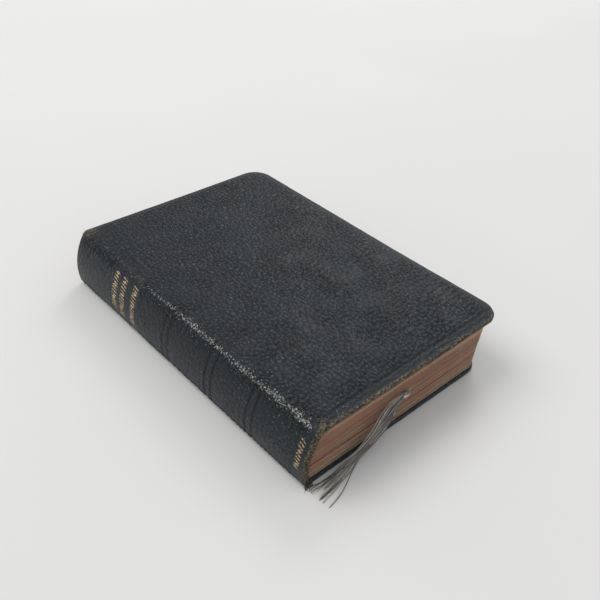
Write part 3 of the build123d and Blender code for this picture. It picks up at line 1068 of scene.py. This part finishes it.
# ---------------------------------------------------------------- frayed leather
def make_fibres(name, body, count, place, length, seed):
    """Short hairs of leather; place(random) gives each one's root and direction."""
    draw = np.random.RandomState(seed)
    parts, shades = [], []
    for _ in range(count):
        root, way = place(draw)
        way = np.array(way) + 0.55 * (draw.rand(3) - 0.5)
        way /= np.linalg.norm(way)
        reach = length * (0.35 + 0.65 * draw.rand())
        curl = 0.5 * (draw.rand(3) - 0.5)
        t = np.linspace(0, 1, 5)[:, None]
        points = np.array(root) + way * reach * t + curl * reach * t**2
        points[:, 2] = np.maximum(points[:, 2], 0.08)
        radii = (0.045 + 0.05 * draw.rand()) * np.array([1.0, 1.0, 0.9, 0.7, 0.35])
        p, f = tube(points, radii, 5)
        parts.append((p, f))
        shades += [draw.rand()] * len(p)
    points, faces = join_parts(parts)
    obj = mesh_from(name, points, faces, FRAY, {"shade": shades})
    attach(obj, body)


def spine_edge(z_low, z_high, tail):
    """Roots along the end of the spine's leather, between two heights."""
    def place(draw):
        z = z_low + (z_high - z_low) * draw.rand()
        deep = 0.4 + 1.7 * draw.rand()
        end = 0.12 if tail else COVER_LENGTH - 0.12
        return (spine_x(z, deep), TAIL_Y + drift(z)[1] + end, z), (0.3, -1.0 if tail else 1.0, -0.2)
    return place


def low_corner(draw):
    z = 0.15 + 1.9 * draw.rand()
    x = spine_x(z, 0.2 + 2.6 * draw.rand())
    return (x, TAIL_Y + drift(z)[1] + 0.1 + 0.5 * draw.rand(), z), (-0.35, -1.0, -0.45)


def head_corner(draw):
    z = THICK - 0.5 - 1.3 * draw.rand()
    return (RIDGE_X - 0.6 + 3.5 * draw.rand(), HEAD_Y - 0.15, z), (-0.3, 1.0, 0.1)


make_fibres("tail_corner_fibres", "back_cover", 52, low_corner, 1.7, 61)
make_fibres("head_corner_fibres", "front_cover", 14, head_corner, 0.9, 62)
make_fibres("rear_edge_fibres", "rear_leaves", 34, spine_edge(3.2, 10.2, True), 0.7, 63)
make_fibres("front_edge_fibres", "front_leaves", 26, spine_edge(12.6, 17.2, True), 0.6, 64)


# ---------------------------------------------------------------- ribbon
RIBBON_LENGTH = 42.6
WOVEN = 4.2  # this much of the loose end is still woven
RIBBON_EXIT_Y = box_mm("ribbon_inside")[0][1]
# The route of the loose end from the ridge, from the front cover's tail edge and up, as in
# the CAD source but closer to the leaves; None is where the ribbon lies between them.
RIBBON_ROUTE = (
    (34.2, None, None),
    (34.2, 0.6, 12.3),
    (31.8, -0.2, 12.7),
    (27.6, -0.6, 11.9),
    (24.0, -1.0, 9.1),
    (20.0, -1.5, 6.4),
    (14.8, -1.8, 4.2),
    (9.4, -1.7, 2.0),
    (4.0, -2.0, 1.0),
    (-2.6, -2.6, 0.6),
)


def route_line():
    """Points of the route's smooth NURBS line, in millimetres."""
    curve = bpy.data.curves.new("ribbon_route", "CURVE")
    curve.dimensions = "3D"
    curve.resolution_u = 24
    spline = curve.splines.new("NURBS")
    spline.points.add(len(RIBBON_ROUTE) - 1)
    for point, (x, y, z) in zip(spline.points, RIBBON_ROUTE):
        place_y = RIBBON_EXIT_Y if y is None else TAIL_Y + y
        place_z = LEAVES_PIVOT[1] if z is None else z
        point.co = ((RIDGE_X + x) * MM, place_y * MM, place_z * MM, 1.0)
    spline.order_u = 3
    spline.use_endpoint_u = True
    holder = add_object("ribbon_route", curve)
    mesh = bpy.data.meshes.new_from_object(holder)
    line = np.array([v.co for v in mesh.vertices]) / MM
    bpy.data.meshes.remove(mesh)
    bpy.data.objects.remove(holder)
    return line


def along_line(line, t):
    """Places on the line at shares t of its length."""
    lengths = np.concatenate([[0], np.cumsum(np.linalg.norm(np.diff(line, axis=0), axis=1))])
    target = np.clip(t, 0, 1) * lengths[-1]
    return np.stack([np.interp(target, lengths, line[:, k]) for k in range(3)], -1)


def sideways(line, t):
    """The ribbon's own width direction at shares t: level at first, then up the leaves' ends
    and at last flat along the floor."""
    ahead = unit(along_line(line, t + 0.01) - along_line(line, t - 0.01))
    level = np.array([1.0, 0.0, 0.0])
    standing = np.stack([-ahead[:, 2], np.zeros(len(t)), ahead[:, 0]], -1)
    standing[standing[:, 2] > 0] *= -1
    lying = np.array([0.45, -1.0, 0.0]) / 1.1
    first = smooth(0.01, 0.09, t)[:, None]
    last = smooth(0.55, 0.86, t)[:, None]
    way = level * (1 - first) + standing * first
    way = way * (1 - last) + lying * last
    return unit(way - ahead * np.sum(way * ahead, axis=1, keepdims=True))


def ribbon_frame(line, t):
    """The ribbon's middle line, width, length and facing directions at shares t."""
    middle, way = along_line(line, t), sideways(line, t)
    ahead = unit(np.gradient(middle, axis=0))
    return middle, way, ahead, np.cross(way, ahead)


def spread(t):
    """Half of the width that the threads cover, along the loose end."""
    places = (0.0, 0.05, 0.12, 0.22, 0.34, 0.46, 0.60, 0.78, 1.0)
    widths = (1.2, 0.8, 1.0, 2.6, 3.1, 2.2, 0.9, 1.9, 3.0)
    return np.interp(t, places, widths)


def make_ribbon_tail():
    """The ribbon's loose end: a little of it still woven, and the rest gone to threads."""
    line = route_line()
    draw = np.random.RandomState(91)
    parts, shades, materials = [], [], []

    # The part that is still woven, a thin crumpled strip.
    rows, columns = 22, 13
    t = np.linspace(0, WOVEN / RIBBON_LENGTH, rows)
    middle, way, ahead, normal = ribbon_frame(line, t)
    strip = []
    for face in (-1, 1):
        for r in range(rows):
            for c in range(columns):
                a = 2 * c / (columns - 1) - 1
                fold = 0.22 * math.sin(2.6 * a + 5 * t[r] * 10) * smooth(0, 0.05, t[r])
                ragged = 0.35 * draw.rand() if r == rows - 1 and face < 0 else 0.0
                p = middle[r] + way[r] * a * spread(t[r]) + normal[r] * (fold + face * 0.07)
                strip.append(p + ahead[r] * ragged)
    parts.append((strip, closed_sheet(rows, columns)))
    shades += [0.9] * len(strip)
    materials += [0] * len(parts[0][1])

    # The threads, each with its own place in the bundle, length and waver.
    count, strands = 36, 9
    for k in range(count):
        strand = k % strands
        a = 2 * (strand + 0.5) / strands - 1 + 0.3 * (draw.rand() - 0.5)
        stray = k == count - 1
        # Painted light: the lit threads lie on the bundle's outer side in the near-white, and the others are
        # near-black as painted shade.
        lit_thread = draw.rand() < 0.45 and not stray
        end = 1.0 if stray else min(1.0, 0.83 + 0.20 * draw.rand() ** 0.6)
        t = np.linspace(0.03 + 0.03 * draw.rand(), end, 60)
        offset = np.clip(a, -1, 1) * spread(t)
        waver = 0.55 * noise(t * 5, strand * 5.3, 71) + 0.42 * noise(t * 7, k * 1.9, 72)
        offset = offset + waver * smooth(0.06, 0.2, t)
        if stray:
            offset = offset + 1.9 * smooth(0.5, 0.95, t)
        sway = 0.7 * (draw.rand() - 0.5) + 0.28 * noise(t * 7, k * 2.3, 73)
        depth = (0.45 * lit_thread + sway) * smooth(0.04, 0.25, t)
        middle, way, ahead, normal = ribbon_frame(line, t)
        radius = 0.09 if lit_thread else 0.07 + 0.07 * draw.rand()
        points = middle + way * offset[:, None] + normal * depth[:, None]
        # Towards its end each thread comes down to the floor.
        down = smooth(0.62, 0.97, t) * (0.55 + 0.45 * draw.rand())
        points[:, 2] = points[:, 2] * (1 - down) + (radius + 0.04) * down
        points[:, 2] = np.maximum(points[:, 2], radius + 0.03)
        p, f = tube(points, radius * smooth(1.05, 0.96, t / end), 5)
        parts.append((p, f))
        shades += [0.75 + 0.25 * draw.rand() if lit_thread else 0.3 * draw.rand()] * len(p)
        materials += [1] * len(f)
    points, faces = join_parts(parts)
    obj = mesh_from("ribbon_loose_end", points, faces, [RIBBON, RIBBON_THREADS], {"shade": shades}, materials)
    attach(obj, "rear_leaves")
    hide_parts("ribbon_tail")


make_ribbon_tail()


# ---------------------------------------------------------------- gutters
def make_gutter(name, pivot, depth, reach, gap, half, ends):
    """Paper folded at a joint, half a gap each side of it: it lies flat when shut. It runs between the two
    ends, and it also returns the points half either side of the pivot."""
    x_fold = pivot[0] + depth
    z_low, z_high = pivot[1] - gap / 2, pivot[1] + gap / 2
    path = [(x_fold + reach * (1 - t), z_low) for t in np.linspace(0, 1, 9)]
    radius = gap / 2
    for angle in np.radians(np.linspace(0, 180, 15)[1:-1]):
        path.append((x_fold - radius * math.sin(angle), pivot[1] - radius * math.cos(angle)))
    path += [(x_fold + reach * t, z_high) for t in np.linspace(0, 1, 9)]
    thin = min(0.02, gap / 4)
    ys = np.linspace(*ends, 24)
    points = []
    for side in (-1, 1):
        for k, (x, z) in enumerate(path):
            before, after = path[max(k - 1, 0)], path[min(k + 1, len(path) - 1)]
            dx, dz = after[0] - before[0], after[1] - before[1]
            length = math.hypot(dx, dz)
            for y in ys:
                points.append((x - side * thin * dz / length, y, z + side * thin * dx / length))
    faces = closed_sheet(len(path), len(ys))
    opening = name == "opening_gutter"
    obj = mesh_from(name, points, faces, PAPER if opening else ENDPAPER)
    return obj, bend_points(pivot, (0, 1), half)


def make_gutters():
    """The opening's gutter and the two inside the covers."""
    ends = (TAIL_Y + 4.2, HEAD_Y - 2.6)
    obj, bend = make_gutter("opening_gutter", LEAVES_PIVOT, 1.25, 2.2, 0.3, BEND, ends)
    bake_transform(obj)
    joints = (
        ("front", FRONT_PIVOT, 2.9, ("front_leaves", "front_cover")),
        ("back", BACK_PIVOT, 2.3, ("back_cover", "rear_leaves")),
    )
    for side, pivot, reach, bodies in joints:
        low, high = box_mm(f"{side}_pastedown")
        ends = (low[1] + 0.1, high[1] - 0.1)
        obj, bend = make_gutter(f"{side}_gutter", pivot, 0.9, reach, 0.04, 0.02, ends)
        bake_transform(obj)


make_gutters()


# ---------------------------------------------------------------- finishes of the CAD nodes
FINISHES = {
    "spine_lining": LINING,
    "sewing_tapes": TAPE,
    "sewing_thread": THREAD,
    "ribbon_inside": RIBBON,
}
for node_name, node_object in frame["nodes"].items():
    for ending, finish in FINISHES.items():
        if node_name.endswith(ending):
            mesh = node_object.data
            mesh.materials.clear()
            mesh.materials.append(finish)
            mark_rest(mesh, np.array([v.co for v in mesh.vertices]) / MM)


# ---------------------------------------------------------------- floor, lights and camera
def make_floor_plane():
    mesh = bpy.data.meshes.new("floor")
    r = 3.0
    mesh.from_pydata([(-r, -r, 0), (r, -r, 0), (r, r, 0), (-r, r, 0)], [], [(0, 1, 2, 3)])
    mesh.materials.append(make_floor())
    add_object("floor", mesh)


def make_light(name, place, size, power, colour):
    """A round soft light at that place, aimed at the origin."""
    light = bpy.data.lights.new(name, "AREA")
    light.shape = "DISK"
    light.size = size
    light.energy = power
    light.color = colour
    obj = add_object(name, light)
    obj.location = place
    obj.rotation_euler = (-Vector(place)).to_track_quat("-Z", "Y").to_euler()


def make_camera():
    """The camera looks down at the tail and spine from the near left."""
    azimuth, elevation, tilt = math.radians(-44.45), math.radians(37.34), math.radians(3.87)
    distance = 251.97 * MM
    target = np.array([RIDGE_X + 49.96, TAIL_Y + 61.41, 0.0]) * MM
    back = np.array([
        math.sin(azimuth) * math.cos(elevation),
        -math.cos(azimuth) * math.cos(elevation),
        math.sin(elevation),
    ])
    right = np.cross(-back, (0, 0, 1))
    right /= np.linalg.norm(right)
    up = np.cross(right, -back)
    across = right * math.cos(tilt) + up * math.sin(tilt)
    upward = -right * math.sin(tilt) + up * math.cos(tilt)
    camera = bpy.data.cameras.new("camera")
    camera.lens = 43.86
    camera.sensor_width = 36.0
    camera.clip_start = 0.01
    obj = add_object("camera", camera)
    axes = np.stack([across, upward, back], 1)
    place = target + back * distance
    obj.matrix_world = Matrix([[*axes[i], place[i]] for i in range(3)] + [[0, 0, 0, 1]])
    bpy.context.scene.camera = obj


def make_world():
    world = bpy.data.worlds.new("world")
    world.use_nodes = True
    background = world.node_tree.nodes["Background"]
    background.inputs["Color"].default_value = (0.955, 0.975, 1.0, 1.0)
    background.inputs["Strength"].default_value = 0.64
    bpy.context.scene.world = world


make_floor_plane()
make_light("window", (-0.65, 0.80, 1.40), 1.3, 11.8, (1.0, 0.98, 0.95))
make_light("far_wall", (0.66, 0.44, 0.74), 0.45, 1.9, (1.0, 1.0, 1.0))
make_world()
make_camera()
bpy.context.scene.view_settings.view_transform = "Standard"
